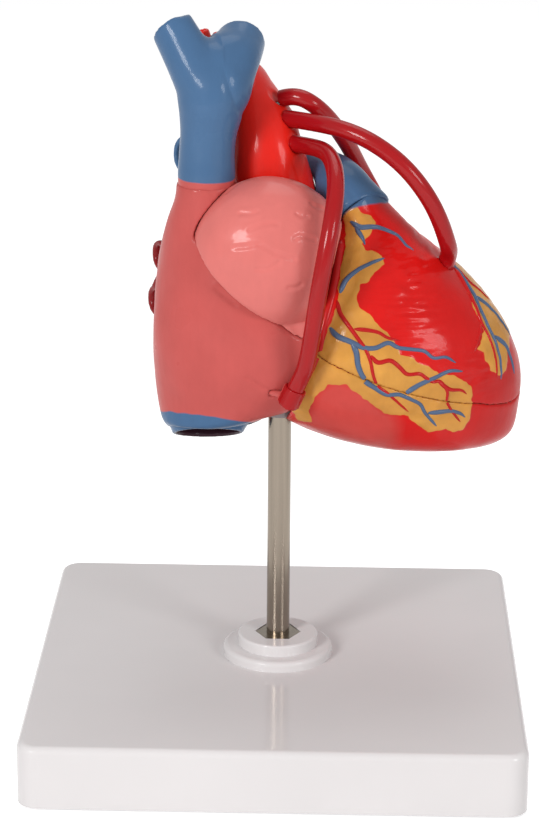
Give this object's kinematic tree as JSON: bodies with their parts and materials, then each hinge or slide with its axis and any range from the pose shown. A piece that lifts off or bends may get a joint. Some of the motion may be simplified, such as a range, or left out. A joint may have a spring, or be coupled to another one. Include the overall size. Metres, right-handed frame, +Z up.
{
  "type": "heart anatomy model",
  "caption": "Life-size human heart teaching model that opens in two halves to show chambers and valves, with bypass grafts, on a rod and square base.",
  "frame": {"origin": "centre of the base plate's underside, on the surface it stands on", "axes": "+Z up along the rod, +X towards the heart's apex (the right of the front view), +Y away from the viewer"},
  "size_m": [0.21, 0.21, 0.3126],
  "materials": {
    "white_plastic": "gloss white moulded plastic",
    "bright_steel": "bright plated steel",
    "foot_rubber": "black soft rubber",
    "inner_plastic": "matt red moulded plastic",
    "heart_muscle": "gloss hand-painted red plastic",
    "atrium_wall": "gloss hand-painted pink plastic",
    "blue_vessel": "gloss blue painted plastic",
    "red_vessel": "gloss bright red painted plastic",
    "vein_red": "gloss dark red painted plastic",
    "valve_leaflet": "pale cream soft plastic",
    "graft_red": "gloss dark red soft plastic tube"
  },
  "bodies": {
    "base": {"base_plate": "white_plastic", "rod_collar": "white_plastic", "collar_nut": "bright_steel", "base_washer": "bright_steel", "base_nut": "bright_steel", "rubber_feet": "foot_rubber"},
    "rod": {"support_rod": "bright_steel"},
    "heart": {"rod_socket": "inner_plastic", "rear_ventricle_wall": "heart_muscle", "right_atrium": "atrium_wall", "left_atrium": "atrium_wall", "left_auricle": "atrium_wall", "superior_vena_cava": "blue_vessel", "inferior_vena_cava": "blue_vessel", "aorta": "red_vessel", "pulmonary_trunk": "blue_vessel", "right_pulmonary_veins": "vein_red", "left_pulmonary_veins": "vein_red", "tricuspid_valve": "valve_leaflet", "mitral_valve": "valve_leaflet", "aortic_valve": "valve_leaflet", "pulmonary_valve": "valve_leaflet", "right_papillary_muscles": "heart_muscle", "left_papillary_muscles": "heart_muscle", "chordae": "valve_leaflet", "circumflex_graft": "graft_red"},
    "front": {"front_ventricle_wall": "heart_muscle", "right_auricle": "atrium_wall", "anterior_graft": "graft_red"},
    "graft": {"right_graft": "graft_red", "right_graft_cuff": "graft_red"}
  },
  "joints": [
    {"name": "rod_turn", "type": "hinge", "parent": "base", "child": "rod", "pos_m": [0, 0, 0.0285], "axis": [0, 0, 1], "continuous": true},
    {"name": "heart_lift", "type": "slide", "parent": "rod", "child": "heart", "axis": [0, 0, 1], "range_m": [0, 0.03]},
    {"name": "front_wall_pull", "type": "slide", "parent": "heart", "child": "front", "axis": [0.8211, -0.5707, 0], "range_m": [0, 0.06]},
    {"name": "right_graft_pull", "type": "slide", "parent": "heart", "child": "graft", "axis": [0.8211, -0.5707, 0], "range_m": [0, 0.06]}
  ],
  "couplings": [
    {"joint": "right_graft_pull", "follows": "front_wall_pull", "ratio": 1}
  ]
}
